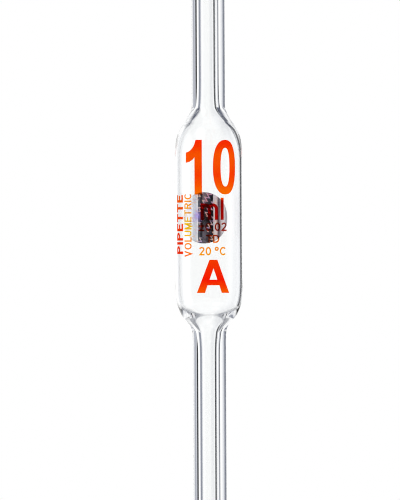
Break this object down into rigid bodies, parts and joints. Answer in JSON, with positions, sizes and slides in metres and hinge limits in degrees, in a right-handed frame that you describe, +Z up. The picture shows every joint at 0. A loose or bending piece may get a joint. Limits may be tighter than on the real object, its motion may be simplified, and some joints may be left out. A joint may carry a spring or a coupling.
{
  "type": "volumetric pipette",
  "caption": "One-mark volumetric pipette in clear glass, with a cylindrical bulb, drawn jet, fired orange marks, calibration ring and a round foil seal behind the bulb.",
  "frame": {"origin": "centre of the suction end's rim plane, on the pipette's axis, where a filler or a hand holds it", "axes": "+Z up along the pipette's axis, out of the suction end; the printed marks face -Y and the foil seal faces +Y; +X is to the reader's right"},
  "size_m": [0.0164, 0.0166, 0.406],
  "materials": {
    "glass": "clear borosilicate glass, fire polished",
    "stain": "fired orange-red stain, translucent",
    "band_stain": "fired red enamel, satin",
    "foil": "metallised diffraction foil"
  },
  "bodies": {
    "root": {"suction_mouthpiece": "glass", "suction_tube": "glass", "bulb": "glass", "delivery_tube": "glass", "delivery_jet": "glass", "calibration_ring": "stain", "colour_code_band": "band_stain", "foil_seal": "foil", "mark_10_figure_1": "stain", "mark_10_figure_0": "stain", "mark_unit_m": "stain", "mark_unit_l": "stain", "mark_class_A": "stain", "mark_tolerance_1_plusMinus": "stain", "mark_tolerance_2_0": "stain", "mark_tolerance_3_point": "stain", "mark_tolerance_4_0": "stain", "mark_tolerance_5_2": "stain", "mark_delivery_1_T": "stain", "mark_delivery_2_D": "stain", "mark_temperature_1_2": "stain", "mark_temperature_2_0": "stain", "mark_temperature_4_degree": "stain", "mark_temperature_5_C": "stain", "mark_word_1_P": "stain", "mark_word_2_I": "stain", "mark_word_3_P": "stain", "mark_word_4_E": "stain", "mark_word_5_T": "stain", "mark_word_6_T": "stain", "mark_word_7_E": "stain", "mark_kind_1_V": "stain", "mark_kind_2_O": "stain", "mark_kind_3_L": "stain", "mark_kind_4_U": "stain", "mark_kind_5_M": "stain", "mark_kind_6_E": "stain", "mark_kind_7_T": "stain", "mark_kind_8_R": "stain", "mark_kind_9_I": "stain", "mark_kind_10_C": "stain"}
  },
  "joints": []
}
